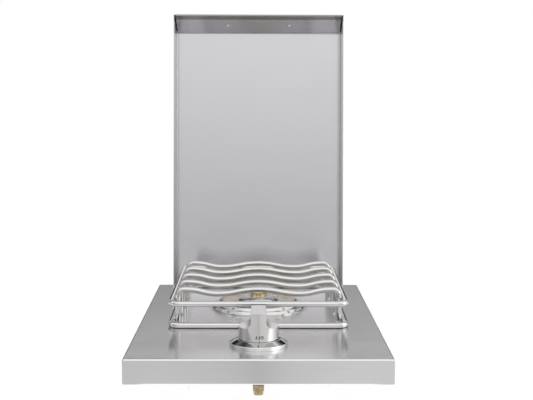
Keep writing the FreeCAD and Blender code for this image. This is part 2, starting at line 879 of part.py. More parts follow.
def make_burner_ring():
    """Brass flame ring: channel turned upside down, its top dished towards the middle."""
    seat = base_rim
    skirt_inner = base_outer_radius + ring_seat_gap
    profile = [
        (ring_inner_radius, seat),
        (ring_inner_radius + ring_inner_wall, seat),
        (ring_inner_radius + ring_inner_wall, seat + ring_roof_inner_height),
        (ring_radius - ring_outer_wall, seat + ring_roof_outer_height),
        (ring_radius - ring_outer_wall, seat),
        (skirt_inner, seat),
        (skirt_inner, seat - ring_skirt_depth),
        (ring_radius, seat - ring_skirt_depth),
        (ring_radius, seat + ring_edge_height),
        (ring_land_radius, seat + ring_land_height),
        (ring_dish_radius, seat + ring_dish_height),
        (ring_dish_radius, seat + ring_ledge_height),
        (ring_inner_radius, seat + ring_ledge_height),
    ]
    rounds = [0, 0, edge_break, 0, 0, 0, 0, edge_break, edge_break, 0, 0]
    ring = turned(profile, rounds, burner_centre)
    ports = []
    for port in range(ring_port_count):
        angle = (port + 0.5) * 360 / ring_port_count
        height = seat + ring_port_height
        start = around(burner_centre, ring_radius - ring_outer_wall - edge_break, angle, height)
        end = around(burner_centre, ring_radius + over, angle, height)
        ports.append(cylinder(ring_port_radius, start, end))
    return ring.cut(ports)


ring_ledge = base_rim + ring_ledge_height
dome_rim = ring_ledge + dome_sheet
dome_dish = dome_rim + dome_dish_rise
igniter_place = burner_centre + RIGHT * igniter_radius_from_centre


def make_burner_dome():
    """Bright cover between ring and head: it swells up and dips to a flat in its middle."""
    crest = dome_rim + dome_crest_rise
    profile = [
        (dome_radius, dome_rim),
        (dome_radius - dome_rim_width, dome_rim),
        (dome_flank_radius, dome_rim + dome_flank_rise),
        (dome_crest_radius, crest),
        (dome_crest_radius - dome_crest_width, crest),
        (dome_dish_radius, dome_dish),
        (dome_hole_radius, dome_dish),
    ]
    bends = [dome_rim_bend, dome_flank_bend, dome_crest_bend, dome_fall_bend, dome_dish_bend]
    cover = turned_sheet(profile, bends, dome_sheet, burner_centre)
    hole_radius = igniter_insulator_radius + igniter_hole_gap
    hole_end = igniter_place + UP * (crest + over)
    hole = cylinder(hole_radius, igniter_place + UP * ring_ledge, hole_end)
    return cover.cut(hole)


def make_burner_head():
    """Small brass head in the middle, waisted like a spool, with ports round its waist."""
    bottom = dome_dish
    top = dome_dish + head_height
    neck_bottom = bottom - head_neck_length
    profile = [
        (0, neck_bottom),
        (head_neck_radius, neck_bottom),
        (head_neck_radius, bottom),
        (head_radius, bottom),
        (head_radius, bottom + head_flange),
        (head_waist_radius, bottom + head_flange + head_waist_taper),
        (head_waist_radius, top - head_flange - head_waist_taper),
        (head_radius, top - head_flange),
        (head_radius, top),
        (head_radius - head_crown_run, top + head_crown),
        (0, top + head_crown),
    ]
    waist = head_waist_round
    rounds = [0, 0, edge_break, edge_break, waist, waist, edge_break, edge_break, head_crown_round]
    head = turned(profile, rounds, burner_centre)
    ports = []
    height = (bottom + top) / 2
    for port in range(head_port_count):
        angle = (port + 0.5) * 360 / head_port_count
        start = around(burner_centre, head_waist_radius - head_port_depth, angle, height)
        end = around(burner_centre, head_waist_radius + over, angle, height)
        ports.append(cylinder(head_port_radius, start, end))
    return head.cut(ports)


insulator_top = ring_ledge + igniter_insulator_top_above_ring
insulator_bottom = insulator_top - igniter_insulator_length


def make_igniter_insulator():
    """Ceramic rod with a collar that sits on its bracket."""
    low = igniter_place + UP * insulator_bottom
    high = igniter_place + UP * insulator_top
    rod = cylinder(igniter_insulator_radius, low, high)
    collar_bottom = igniter_place + UP * base_bottom
    collar_top = collar_bottom + UP * igniter_collar_height
    collar = cylinder(igniter_collar_radius, collar_bottom, collar_top)
    bore = cylinder(igniter_wire_radius, low - UP * over, high + UP * over)
    return rod.fuse(collar).cut(bore)


def make_igniter_electrode():
    """Spark wire through the ceramic rod, with a stub for the lead below."""
    low = igniter_place + UP * (insulator_bottom - igniter_wire_tail)
    high = igniter_place + UP * (insulator_top + igniter_wire_rise)
    tip_radius = igniter_wire_radius * igniter_point_share
    tip = Part.makeCone(igniter_wire_radius, tip_radius, igniter_point_length, high, UP)
    return cylinder(igniter_wire_radius, low, high).fuse(tip)


def make_igniter_bracket():
    """Small plate under the casting that holds the igniter upright."""
    half = igniter_bracket_width / 2
    plate = block(
        Vector(igniter_bracket_inner, burner_y - half, base_bottom - igniter_bracket_sheet),
        Vector(igniter_bracket_outer, burner_y + half, base_bottom),
    )
    upright = edges_where(plate, lambda c, b: b.ZLength > igniter_bracket_sheet / 2)
    plate = plate.makeFillet(half / 2, upright)
    seat = igniter_place + UP * base_bottom
    screw = igniter_screw_place()
    holes = [
        cylinder(igniter_insulator_radius, seat - UP * over, seat + UP * over),
        cylinder(igniter_screw_radius, screw - UP * over, screw + UP * over),
    ]
    return plate.cut(holes)


box_front = front_y + box_front_from_front
box_rear = front_y + box_rear_from_front
box_bottom = deck_under - box_depth
box_inner_half = box_width / 2 - box_sheet
strap_under = base_boss_bottom - strap_sheet


def make_burner_box():
    """Deep pan under the deck, open at the top, with a flange welded to the deck's underside."""
    corner = Vector(box_width / 2, box_rear, deck_under)
    outer = block(Vector(-box_width / 2, box_front, box_bottom), corner)
    upright = edges_where(outer, lambda c, b: b.ZLength > box_depth / 2)
    outer = outer.makeFillet(box_corner_radius, upright)
    foot = edges_where(outer, lambda c, b: b.ZMax < box_bottom + 0.01)
    outer = outer.makeFillet(box_corner_radius / 2, foot)
    low = Vector(-box_inner_half, box_front + box_sheet, box_bottom + box_sheet)
    high = Vector(box_inner_half, box_rear - box_sheet, deck_under + over)
    inner = block(low, high)
    upright = edges_where(inner, lambda c, b: b.ZLength > box_depth / 2)
    inner = inner.makeFillet(box_corner_radius - box_sheet, upright)
    foot = edges_where(inner, lambda c, b: b.ZMax < low.z + 0.01)
    inner = inner.makeFillet(box_corner_radius / 2 - box_sheet / 2, foot)
    flange = block(
        Vector(-box_width / 2 - box_flange, box_front - box_flange, deck_under - box_sheet),
        Vector(box_width / 2 + box_flange, box_rear + box_flange, deck_under),
    )
    shell = outer.fuse(flange).cut(inner)

    wall_hole = Vector(0, box_front, valve_axis_height)
    cuts = [cylinder(tube_radius + tube_hole_gap, wall_hole - REAR * over, wall_hole + REAR * over)]
    for column in range(box_vent_columns):
        for row in range(box_vent_rows):
            x = (row - (box_vent_rows - 1) / 2) * box_vent_pitch
            y = burner_y + (column - (box_vent_columns - 1) / 2) * box_vent_pitch
            vent = Vector(x, y, box_bottom)
            cuts.append(cylinder(box_vent_radius, vent - UP * over, vent + UP * over))
    for place in strap_rivet_places():
        cuts.append(cylinder(rivet_radius, place - RIGHT * over, place + RIGHT * over))
    return shell.cut(cuts)


def strap_rivet_places():
    """Points on the box's side walls where the strap is riveted."""
    height = strap_under + strap_rivet_height
    places = []
    for side in (-1, 1):
        for offset in (-strap_rivet_spacing / 2, strap_rivet_spacing / 2):
            places.append(Vector(side * box_inner_half, burner_y + offset, height))
    return places


def make_burner_strap():
    """Strap across the box that carries the burner casting, its ends turned up against the walls."""
    flange_top = strap_under + strap_flange
    points = [
        (-box_inner_half, flange_top),
        (-box_inner_half, strap_under),
        (box_inner_half, strap_under),
        (box_inner_half, flange_top),
    ]
    section = sheet_section(points, [strap_bend, strap_bend], strap_sheet)
    strap = section.extrude(RIGHT * strap_width)
    strap.rotate(Vector(0, 0, 0), UP, -90)
    strap.translate(Vector(0, burner_y + strap_width / 2, 0))
    hole_radius = tube_radius + strap_hole_gap
    middle = burner_centre + UP * strap_under
    cuts = [cylinder(hole_radius, middle - UP * over, middle + UP * over)]
    for place in base_screw_places():
        cuts.append(cylinder(base_screw_radius, place - UP * over, place + UP * over))
    igniter_seat = igniter_place + UP * base_boss_bottom
    igniter_hole = igniter_insulator_radius + igniter_strap_hole_gap
    cuts.append(cylinder(igniter_hole, igniter_seat - UP * over, igniter_seat + UP * over))
    for place in strap_rivet_places():
        cuts.append(cylinder(rivet_radius, place - RIGHT * over, place + RIGHT * over))
    return strap.cut(cuts)


def make_strap_rivets():
    """Rivets through strap and box wall, a head on each side."""
    rivets = []
    for place in strap_rivet_places():
        outward = RIGHT if place.x > 0 else RIGHT * -1
        inner_seat = place - outward * strap_sheet
        outer_seat = place + outward * box_sheet
        shank = cylinder(rivet_radius, inner_seat, outer_seat)
        heads = [dome_head(rivet_head_radius, rivet_head_height, outer_seat, outward)]
        heads.append(dome_head(rivet_head_radius, rivet_head_height, inner_seat, outward * -1))
        rivets.append(shank.fuse(heads))
    return compound(rivets)


frame_half_width = grate_outer_width / 2 - rod_radius
frame_half_length = burner_from_front - grate_front_from_front
rod_leg_x = frame_half_width - rod_diameter


def grate_frame(height):
    """Closed rectangle of round bar with bent corners, at a height above the deck."""
    radius = frame_corner_radius
    x = frame_half_width
    y = frame_half_length
    z = deck_top + height
    corners = [Vector(0, burner_y - y, z), Vector(x, burner_y - y, z), Vector(x, burner_y + y, z)]
    corners += [Vector(-x, burner_y + y, z), Vector(-x, burner_y - y, z), Vector(0, burner_y - y, z)]
    return bent_rod(rounded_edges(corners, [radius] * 4), rod_radius)


def arc_chain_through(points_and_bulges, y):
    """Arcs through (x, z) points, each with the (x, z) of its middle."""
    edges = []
    for start, middle, end in points_and_bulges:
        edges.append(Part.Arc(Vector(start[0], y, start[1]), Vector(middle[0], y, middle[1]),
                              Vector(end[0], y, end[1])).toShape())
    return edges


def half_wave(x_start, x_end, z_start, z_end):
    """Two equal tangent arcs from one level turning point to the next."""
    run = abs(x_end - x_start)
    rise = z_end - z_start
    radius = (run ** 2 + rise ** 2) / (4 * abs(rise))
    middle = ((x_start + x_end) / 2, (z_start + z_end) / 2)
    half_turn = math.asin(run / 2 / radius) / 2
    side = 1 if x_end > x_start else -1
    lift = 1 if rise > 0 else -1
    across = radius * math.sin(half_turn)
    sag = radius * (1 - math.cos(half_turn))
    first = (x_start + side * across, z_start + lift * sag)
    second = (x_end - side * across, z_end - lift * sag)
    return [((x_start, z_start), first, middle), (middle, second, (x_end, z_end))]


def wavy_rod(y):
    """One cooking rod: two legs, two bent corners and a wave of tangent arcs between them."""
    crest = deck_top + rod_crest_height
    trough = crest - wave_height
    foot = deck_top + rod_leg_bottom
    wave_x = [-wave_end_crest_x, -wave_trough_x, 0, wave_trough_x, wave_end_crest_x]
    wave_z = [crest, trough, crest, trough, crest]
    arcs = []
    for index in range(4):
        arcs += half_wave(wave_x[index], wave_x[index + 1], wave_z[index], wave_z[index + 1])
    left = rounded_edges(
        [Vector(-rod_leg_x, y, foot), Vector(-rod_leg_x, y, crest), Vector(-wave_end_crest_x, y, crest)],
        [rod_corner_radius],
    )
    right = rounded_edges(
        [Vector(wave_end_crest_x, y, crest), Vector(rod_leg_x, y, crest), Vector(rod_leg_x, y, foot)],
        [rod_corner_radius],
    )
    return bent_rod(left + arc_chain_through(arcs, y) + right, rod_radius)


def make_grate_rods():
    middle = (rod_count - 1) / 2
    return compound([wavy_rod(burner_y + (index - middle) * rod_pitch) for index in range(rod_count)])


lid_low = deck_top + lid_closed_gap
lid_high = lid_low + lid_depth
lid_rear_y = hinge_y + lid_rear_overhang
lid_lip_y = hinge_y - lid_reach
lid_fold_y = lid_lip_y + lid_front_slope_run
slope_run = Vector(0, lid_lip_y - lid_fold_y, lid_low - lid_high)
slope_length = slope_run.Length
down_slope = Vector(slope_run).normalize()
out_of_slope = Vector(0, down_slope.z, -down_slope.y)
lid_fold = Vector(0, lid_fold_y, lid_high)


def opened(shape):
    """Turn a lid piece from closed, as it is drawn, to open, as it rests."""
    shape.rotate(Vector(0, hinge_y, hinge_z), RIGHT, -lid_open_angle)
    return shape


def on_slope(across, along, out):
    """Point on the lid's front: across the lid, down the slope from the fold, and out from it."""
    return lid_fold + RIGHT * across + down_slope * along + out_of_slope * out


def lid_prism(half_width, inset, drop):
    """Side outline of the closed lid, moved in by inset, drawn out to the lid's width."""
    slope_shift = inset / abs(down_slope.z)
    run = abs(down_slope.y / down_slope.z)
    fold_shift = inset * run
    corners = [
        Vector(-half_width, lid_rear_y - inset, lid_low - drop),
        Vector(-half_width, lid_rear_y - inset, lid_high - inset),
        Vector(-half_width, lid_fold_y + slope_shift - fold_shift, lid_high - inset),
        Vector(-half_width, lid_lip_y + slope_shift - drop * run, lid_low - drop),
    ]
    corners.append(corners[0])
    return Part.Face(Part.makePolygon(corners)).extrude(RIGHT * (2 * half_width))


def make_lid_pan():
    """Folded lid: flat panel, two side skirts with hinge ears, a rear skirt and a sloping hemmed front."""
    half = lid_width / 2
    outer = lid_prism(half, 0, 0)
    crown = edges_where(outer, lambda c, b: b.ZMin > lid_high - 0.01)
    outer = outer.makeFillet(lid_bend, crown)
    inner = lid_prism(half - lid_sheet, lid_sheet, over)
    crown = edges_where(inner, lambda c, b: b.ZMin > lid_high - lid_sheet - 0.01)
    inner = inner.makeFillet(lid_bend - lid_sheet, crown)
    shell = outer.cut(inner)

    hem_start = slope_length - lid_hem
    hem_half = half - lid_sheet - lid_corner_slot
    hem_corners = [
        on_slope(-hem_half, hem_start, -lid_sheet),
        on_slope(-hem_half, slope_length, -lid_sheet),
        on_slope(-hem_half, slope_length, -2 * lid_sheet),
        on_slope(-hem_half, hem_start, -2 * lid_sheet),
    ]
    hem_corners.append(hem_corners[0])
    hem = Part.Face(Part.makePolygon(hem_corners)).extrude(RIGHT * (2 * hem_half))
    below_lip = block(Vector(-half, lid_lip_y - over, lid_low - over), Vector(half, lid_fold_y, lid_low))
    hem = hem.cut(below_lip)

    ears = []
    for side in (-1, 1):
        ear = block(
            Vector(half - lid_sheet, hinge_y - lid_ear_front, hinge_z - lid_ear_bottom),
            Vector(half, lid_rear_y, lid_low + lid_sheet),
        )
        front_corner = edges_where(ear, lambda c, b: b.YMax < hinge_y - lid_ear_front + 0.01
                                   and b.ZMax < hinge_z - lid_ear_bottom + 0.01)
        ear = ear.makeFillet(lid_ear_round, front_corner)
        ears.append(ear if side > 0 else mirrored(ear))
    shell = shell.fuse([hem] + ears)

    slot_end = half - lid_sheet
    slot_start = slot_end - lid_corner_slot
    slot_corners = [
        on_slope(slot_start, lid_corner_slot_end, over),
        on_slope(slot_start, slope_length + over, over),
        on_slope(slot_start, slope_length + over, -over),
        on_slope(slot_start, lid_corner_slot_end, -over),
    ]
    slot_corners.append(slot_corners[0])
    slot = Part.Face(Part.makePolygon(slot_corners)).extrude(RIGHT * lid_corner_slot)
    slots = [slot, mirrored(slot)]
    hinge_axis = Vector(0, hinge_y, hinge_z)
    across = RIGHT * (half + over)
    hinge_hole = cylinder(hinge_pin_radius + hinge_hole_fit, hinge_axis - across, hinge_axis + across)
    screw_holes = []
    for x in (-handle_screw_spacing / 2, handle_screw_spacing / 2):
        along = handle_screw_from_fold
        start = on_slope(x, along, -over)
        screw_holes.append(cylinder(handle_screw_radius, start, on_slope(x, along, over)))
    return opened(shell.cut(slots + [hinge_hole] + screw_holes))


def make_lid_handle():
    """Formed strip handle on the sloping front: plate, lip and turned-down edge."""
    plate_end = handle_from_fold + handle_plate
    outline = [
        (plate_end, 0),
        (handle_from_fold, 0),
        (handle_from_fold, handle_lip),
        (handle_from_fold + handle_curl, handle_lip),
    ]
    section = sheet_section(outline, [handle_bend, handle_bend], -handle_sheet)
    strip = section.extrude(RIGHT * handle_length)
    strip.translate(RIGHT * (-handle_length / 2))
    upright = edges_where(strip, lambda c, b: b.ZLength > handle_sheet / 2 and b.XLength < 0.01
                          and b.YLength < 0.01 and c.y > plate_end - 0.01)
    strip = strip.makeFillet(handle_plate / 3, upright)
    screws = (-handle_screw_spacing / 2, handle_screw_spacing / 2)
    collars = []
    holes = []
    for x in screws:
        foot_point = Vector(x, handle_screw_from_fold, 0)
        collar_top = foot_point + UP * (handle_sheet + handle_collar_height)
        collars.append(cylinder(handle_collar_radius, foot_point, collar_top))
        holes.append(cylinder(handle_screw_radius, foot_point - UP * over, collar_top + UP * over))
    strip = strip.fuse(collars).cut(holes)
    return opened(placed_on_slope(strip))


def placed_on_slope(shape):
    """Move a shape from its drawing plane, y down the slope and z out of it, onto the lid's front."""
    tilt = math.degrees(math.atan2(-down_slope.z, -down_slope.y))
    shape.rotate(Vector(0, 0, 0), UP, 180)
    shape.rotate(Vector(0, 0, 0), RIGHT, tilt)
    shape.translate(lid_fold)
    return shape


def make_handle_screws():
    """Dome-head screws from inside the lid into the handle's collars."""
    screws = []
    for x in (-handle_screw_spacing / 2, handle_screw_spacing / 2):
        along = handle_screw_from_fold
        seat = on_slope(x, along, -lid_sheet)
        tip = on_slope(x, along, handle_sheet + handle_collar_height)
        head = dome_head(handle_screw_head_radius, handle_screw_head_height, seat, out_of_slope * -1)
        screws.append(cylinder(handle_screw_radius, seat, tip).fuse(head))
    return opened(compound(screws))


ear_outer_x = lid_width / 2 - lid_sheet - washer_thickness - 2 * hinge_face_gap
ear_inner_x = ear_outer_x - bracket_sheet


def make_hinge_bracket():
    """Right-hand bracket: plate on the rear skirt and an ear turned back beside the lid."""
    plate_outer = lid_width / 2 + bracket_plate_past_lid
    plate_inner = plate_outer - bracket_plate_width
    low_z = hinge_z - bracket_ear_radius
    plate = block(
        Vector(plate_inner, rear_y, low_z - (bracket_plate_height - 2 * bracket_ear_radius)),
        Vector(plate_outer, rear_y + bracket_sheet, hinge_z + bracket_ear_radius),
    )
    ear = block(
        Vector(ear_inner_x, rear_y, low_z),
        Vector(ear_outer_x, hinge_y, hinge_z + bracket_ear_radius),
    )
    pin_start = Vector(ear_inner_x, hinge_y, hinge_z)
    round_end = cylinder(bracket_ear_radius, pin_start, pin_start + RIGHT * bracket_sheet)
    bracket = plate.fuse([ear, round_end])
    inner_corner = edges_where(bracket, lambda c, b: abs(c.y - rear_y - bracket_sheet) < 0.01
                               and abs(c.x - ear_inner_x) < 0.01 and b.ZLength > bracket_ear_radius)
    bracket = bracket.makeFillet(bracket_bend, inner_corner)
    cuts = [cylinder(hinge_pin_radius + hinge_pin_fit, pin_start - RIGHT * over, pin_start + RIGHT * over)]
    for place in bracket_rivet_places():
        cuts.append(cylinder(rivet_radius, place - REAR * over, place + REAR * over))
    return bracket.cut(cuts)


def bracket_rivet_places():
    """Points on the rear skirt's outer face for the right-hand bracket's rivets."""
    first_x = ear_inner_x - bracket_rivet_from_ear
    height = hinge_z - bracket_plate_height / 2 + bracket_ear_radius
    last_x = first_x - bracket_rivet_spacing
    return [Vector(first_x, rear_y, height), Vector(last_x, rear_y, height)]


def make_bracket_rivets():
    """Rivets that hold both brackets to the rear skirt."""
    rivets = []
    for place in bracket_rivet_places():
        outer_seat = place + REAR * bracket_sheet
        inner_seat = place - REAR * deck_sheet
        shank = cylinder(rivet_radius, inner_seat, outer_seat)
        heads = [dome_head(rivet_head_radius, rivet_head_height, outer_seat, REAR)]
        heads.append(dome_head(rivet_head_radius, rivet_head_height, inner_seat, REAR * -1))
        rivets.append(shank.fuse(heads))
    return compound(rivets + [mirrored(rivet) for rivet in rivets])


def both_sides(shape):
    return compound([mirrored(shape), shape])


def make_hinge_pins():
    """Headed pins from outside the lid's ears through the brackets, grooved for their clips."""
    head_seat = lid_width / 2 + hinge_side_gap
    tip = ear_inner_x - clip_thickness - pin_past_clip
    axis = Vector(0, hinge_y, hinge_z)
    shank = cylinder(hinge_pin_radius, axis + RIGHT * tip, axis + RIGHT * head_seat)
    head = cylinder(hinge_pin_head_radius, axis + RIGHT * head_seat,
                    axis + RIGHT * (head_seat + hinge_pin_head_height))
    return both_sides(shank.fuse(head))


def make_hinge_washers():
    """Washers between lid ears and brackets."""
    start = Vector(ear_outer_x + hinge_face_gap, hinge_y, hinge_z)
    ring = cylinder(washer_radius, start, start + RIGHT * washer_thickness)
    bore = cylinder(hinge_pin_radius + hinge_hole_fit, start - RIGHT * over, start + RIGHT * over)
    return both_sides(ring.cut(bore))


def make_hinge_clips():
    """Spring clips on the pins, inside the brackets."""
    start = Vector(ear_inner_x - clip_thickness, hinge_y, hinge_z)
    ring = cylinder(clip_radius, start, start + RIGHT * clip_thickness)
    bore = cylinder(hinge_pin_radius, start - RIGHT * over, start + RIGHT * over)
    mouth_half = clip_radius * math.sin(math.radians(clip_mouth_angle / 2))
    mouth = block(
        Vector(start.x - over, hinge_y - mouth_half, hinge_z - clip_radius - over),
        Vector(start.x + over, hinge_y + mouth_half, hinge_z - clip_mouth_depth),
    )
    return both_sides(ring.cut([bore, mouth]))


def build_all():
    bracket = make_hinge_bracket()
    return {
        "deck_pan": make_deck_pan(),
        "burner_plinth": make_burner_plinth(),
        "plinth_screws": make_plinth_screws(),
        "bezel": make_bezel(),
        "bezel_screws": make_bezel_screws(),
        "knob": make_knob(),
        "knob_insert": make_knob_insert(),
        "valve_stem": make_valve_stem(),
        "push_sleeve": make_push_sleeve(),
        "valve_bonnet": make_valve_bonnet(),
        "gas_valve_body": make_gas_valve_body(),
        "orifice_spud": make_orifice_spud(),
        "inlet_fitting": make_inlet_fitting(),
        "igniter_module": make_igniter_module(),
        "mixing_tube": make_mixing_tube(),
        "air_shutter": make_air_shutter(),
        "burner_base": make_burner_base(),
        "burner_ring": make_burner_ring(),
        "burner_dome": make_burner_dome(),
        "burner_head": make_burner_head(),
        "igniter_insulator": make_igniter_insulator(),
        "igniter_electrode": make_igniter_electrode(),
        "igniter_bracket": make_igniter_bracket(),
        "igniter_screw": make_igniter_screw(),
        "burner_screws": make_burner_screws(),
        "burner_box": make_burner_box(),
        "burner_strap": make_burner_strap(),
        "strap_rivets": make_strap_rivets(),
        "grate_lower_frame": grate_frame(rod_radius),
        "grate_upper_frame": grate_frame(upper_frame_height),
        "grate_rods": make_grate_rods(),
        "lid_pan": make_lid_pan(),
        "lid_handle": make_lid_handle(),
        "handle_screws": make_handle_screws(),
        "hinge_bracket_right": bracket,
        "hinge_bracket_left": mirrored(bracket),
        "bracket_rivets": make_bracket_rivets(),
        "hinge_pins": make_hinge_pins(),
        "hinge_washers": make_hinge_washers(),
        "hinge_clips": make_hinge_clips(),
    }


os.makedirs("parts", exist_ok=True)
for name, shape in build_all().items():
    shape.exportStep(f"parts/{name}.step")
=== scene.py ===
import json
import math
import random

import bmesh
import bpy
from mathutils import Matrix, Vector


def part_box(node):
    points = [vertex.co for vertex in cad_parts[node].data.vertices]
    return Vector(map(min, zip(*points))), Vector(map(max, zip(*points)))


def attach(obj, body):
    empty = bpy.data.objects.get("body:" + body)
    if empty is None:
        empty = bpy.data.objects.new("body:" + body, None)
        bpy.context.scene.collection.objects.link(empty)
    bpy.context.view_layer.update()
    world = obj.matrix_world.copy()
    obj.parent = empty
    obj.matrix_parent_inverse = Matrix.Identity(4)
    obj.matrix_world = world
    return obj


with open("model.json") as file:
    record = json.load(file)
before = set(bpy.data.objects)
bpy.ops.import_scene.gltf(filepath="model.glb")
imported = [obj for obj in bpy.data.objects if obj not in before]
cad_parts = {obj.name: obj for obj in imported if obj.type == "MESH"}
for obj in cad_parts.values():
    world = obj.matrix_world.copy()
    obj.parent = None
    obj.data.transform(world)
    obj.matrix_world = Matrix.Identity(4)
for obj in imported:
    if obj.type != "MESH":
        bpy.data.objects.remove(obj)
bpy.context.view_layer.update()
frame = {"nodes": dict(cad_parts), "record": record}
nodes = frame["nodes"]

# Places on the part that its finishes, painted shade and painted highlight follow, in metres, and the colors
# that aren't in the list of looks, painted shade among them
burner_y = 0.0669
port_reach = 0.0115
port_bottom_below_top = 0.0060
port_top_below_top = 0.0034
skirt_normal_y = 0.4585
skirt_normal_z = 0.8887
hem_leaf_low = 0.5688
hem_leaf_high = 0.5701
hem_blend = 0.0002
hem_edge_y = 0.3124
hem_edge_full_y = 0.3121
hem_edge_z = 0.470
hem_edge_full_z = 0.472
# Reach of the rods' painted underside shade, and where their side bars with a painted highlight begin
underside_shade_full_reach = 0.11
underside_shade_reach = 0.19
underside_shade_bottom = 0.045
underside_shade_full_bottom = 0.055
underside_shade_full_x = 0.104
underside_shade_end_x = 0.114
side_bar_x = 0.1155
side_bar_full_x = 0.1165
port_painted_shade = (0.03, 0.022, 0.015)
insulator_soot = (0.45, 0.38, 0.3)
print_and_shadow_black = (0.006, 0.006, 0.006)
floor_grey = (0.05, 0.05, 0.05)


# Shorthand for node trees

class Tree:
    """Adds nodes to one node tree, and takes either a number or another node's output as an input."""

    def __init__(self, tree):
        self.tree = tree

    def node(self, kind, settings=None, inputs=None):
        made = self.tree.nodes.new(kind)
        for name, value in (settings or {}).items():
            setattr(made, name, value)
        for name, value in (inputs or {}).items():
            self.feed(made.inputs[name], value)
        return made

    def feed(self, socket, value):
        if isinstance(value, bpy.types.NodeSocket):
            self.tree.links.new(value, socket)
        else:
            socket.default_value = value

    def math(self, operation, a, b=0.0):
        made = self.node("ShaderNodeMath", {"operation": operation})
        self.feed(made.inputs[0], a)
        self.feed(made.inputs[1], b)
        return made.outputs[0]

    def total(self, first, *others):
        for other in others:
            first = self.math("ADD", first, other)
        return first

    def product(self, first, *others):
        for other in others:
            first = self.math("MULTIPLY", first, other)
        return first

    def vector(self, operation, a, b=(0, 0, 0)):
        made = self.node("ShaderNodeVectorMath", {"operation": operation})
        self.feed(made.inputs[0], a)
        self.feed(made.inputs[1], b)
        return made.outputs[0]

    def split(self, vector):
        return self.node("ShaderNodeSeparateXYZ", inputs={"Vector": vector}).outputs

    def join(self, x, y, z):
        return self.node("ShaderNodeCombineXYZ", inputs={"X": x, "Y": y, "Z": z}).outputs[0]

    def map(self, value, low, high, to_low, to_high, smooth=False):
        kind = "SMOOTHSTEP" if smooth else "LINEAR"
        made = self.node("ShaderNodeMapRange", {"interpolation_type": kind})
        for socket, given in zip(made.inputs, (value, low, high, to_low, to_high)):
            self.feed(socket, given)
        return made.outputs[0]

    def rise(self, value, start, end, smooth=True):
        """0 up to start, 1 from end on."""
        return self.map(value, start, end, 0.0, 1.0, smooth)

    def vary(self, noise, low, high):
        """Stretches the usual range of a noise to the range from low to high."""
        return self.map(noise, 0.3, 0.7, low, high)

    def mix(self, factor, a, b):
        made = self.node("ShaderNodeMix", {"data_type": "FLOAT"})
        self.feed(made.inputs[0], factor)
        self.feed(made.inputs[2], a)
        self.feed(made.inputs[3], b)
        return made.outputs[0]

    def mix_color(self, factor, a, b):
        made = self.node("ShaderNodeMix", {"data_type": "RGBA"})
        self.feed(made.inputs[0], factor)
        self.feed(made.inputs[6], a)
        self.feed(made.inputs[7], b)
        return made.outputs[2]

    def mix_vector(self, factor, a, b):
        made = self.node("ShaderNodeMix", {"data_type": "VECTOR"})
        self.feed(made.inputs[0], factor)
        self.feed(made.inputs[4], a)
        self.feed(made.inputs[5], b)
        return made.outputs[1]

    def noise(self, vector, scale, detail=3.0, roughness=0.55):
        made = self.node("ShaderNodeTexNoise", inputs={
            "Vector": vector, "Scale": scale, "Detail": detail, "Roughness": roughness})
        return made.outputs[0]

    def ramp(self, value, stops):
        """A curve through (place from 0 to 1, height) stops."""
        made = self.node("ShaderNodeValToRGB", inputs={"Fac": value})
        band = made.color_ramp
        for place, height in stops[1:-1]:
            band.elements.new(place)
        for element, (place, height) in zip(band.elements, stops):
            element.position = place
            element.color = (height, height, height, 1.0)
        return made.outputs[0]

    def toned(self, color, tone):
        """The color, made lighter or darker by the tone."""
        return self.node("ShaderNodeHueSaturation", inputs={"Value": tone, "Color": color}).outputs[0]

    def bump(self, height, strength, distance=0.0002):
        made = self.node("ShaderNodeBump", inputs={
            "Strength": strength, "Distance": distance, "Height": height})
        return made.outputs[0]

    def object_place(self):
        return self.node("ShaderNodeTexCoord").outputs["Object"]

    def object_normal(self):
        return self.node("ShaderNodeTexCoord").outputs["Normal"]

    def camera_ray(self):
        return self.node("ShaderNodeLightPath").outputs["Is Camera Ray"]


def new_material(name):
    material = bpy.data.materials.new(name)
    material.use_nodes = True
    material.node_tree.nodes.clear()
    return material, Tree(material.node_tree)


def finish_material(t, color, roughness, others):
    """Feeds the shader and joins it to the material's output."""
    inputs = {"Base Color": color, "Roughness": roughness}
    inputs.update(others)
    shader = t.node("ShaderNodeBsdfPrincipled", inputs=inputs)
    t.node("ShaderNodeOutputMaterial", inputs={"Surface": shader.outputs[0]})


def rgba(r, g, b):
    return (r, g, b, 1.0)


# Finishes

def from_burner(t, x, y):
    """Distance from the burner's upright axis."""
    off_centre = t.math("SUBTRACT", y, burner_y)
    return t.math("SQRT", t.total(t.product(x, x), t.product(off_centre, off_centre)))


def on_folded_hem(t, y, z):
    """1 on the inner leaf and the edge of the lid's folded front hem, where the painted shade goes, and 0
    elsewhere on the lid.
    """
    off_skirt = t.total(t.product(y, skirt_normal_y), t.product(z, skirt_normal_z))
    above = t.rise(off_skirt, hem_leaf_low - hem_blend, hem_leaf_low + hem_blend, smooth=False)
    below = t.map(off_skirt, hem_leaf_high - hem_blend, hem_leaf_high + hem_blend, 1.0, 0.0)
    at_edge = t.product(t.rise(y, hem_edge_y, hem_edge_full_y, smooth=False),
                        t.rise(z, hem_edge_z, hem_edge_full_z, smooth=False))
    return t.math("MAXIMUM", t.product(above, below), at_edge)


